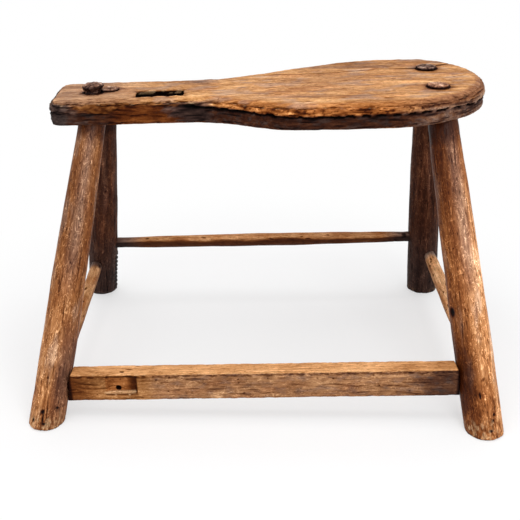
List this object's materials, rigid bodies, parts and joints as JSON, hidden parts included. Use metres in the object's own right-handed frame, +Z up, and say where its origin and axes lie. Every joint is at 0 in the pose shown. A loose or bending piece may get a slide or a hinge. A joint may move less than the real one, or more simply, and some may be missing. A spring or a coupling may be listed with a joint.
{
  "type": "saddlers stool",
  "caption": "Staked work stool: a plank seat, narrow and slotted at one end and a round paddle at the other, on splayed pole legs tied near the floor by stretchers.",
  "frame": {"origin": "on the floor, under the middle of the stool's bounding box", "axes": "+X toward the broad end of the seat, +Y toward the back of the stool, +Z up"},
  "size_m": [0.7648, 0.5526, 0.5022],
  "materials": {
    "seat_wood": "old oiled plank, worn satin, lighter on top than on its edge",
    "front_leg_wood": "old oiled pole with mottled figure, satin",
    "rear_leg_wood": "old oiled pole, darker, satin",
    "bar_wood": "dry sawn bar, matt, dark with handling toward its ends",
    "stick_wood": "whittled stick, dry and light, matt"
  },
  "bodies": {
    "root": {"seat": "seat_wood", "front_left_leg": "front_leg_wood", "rear_left_leg": "rear_leg_wood", "front_right_leg": "front_leg_wood", "rear_right_leg": "rear_leg_wood", "front_stretcher": "bar_wood", "rear_stretcher": "stick_wood", "left_stretcher": "stick_wood", "right_stretcher": "stick_wood"}
  },
  "joints": []
}
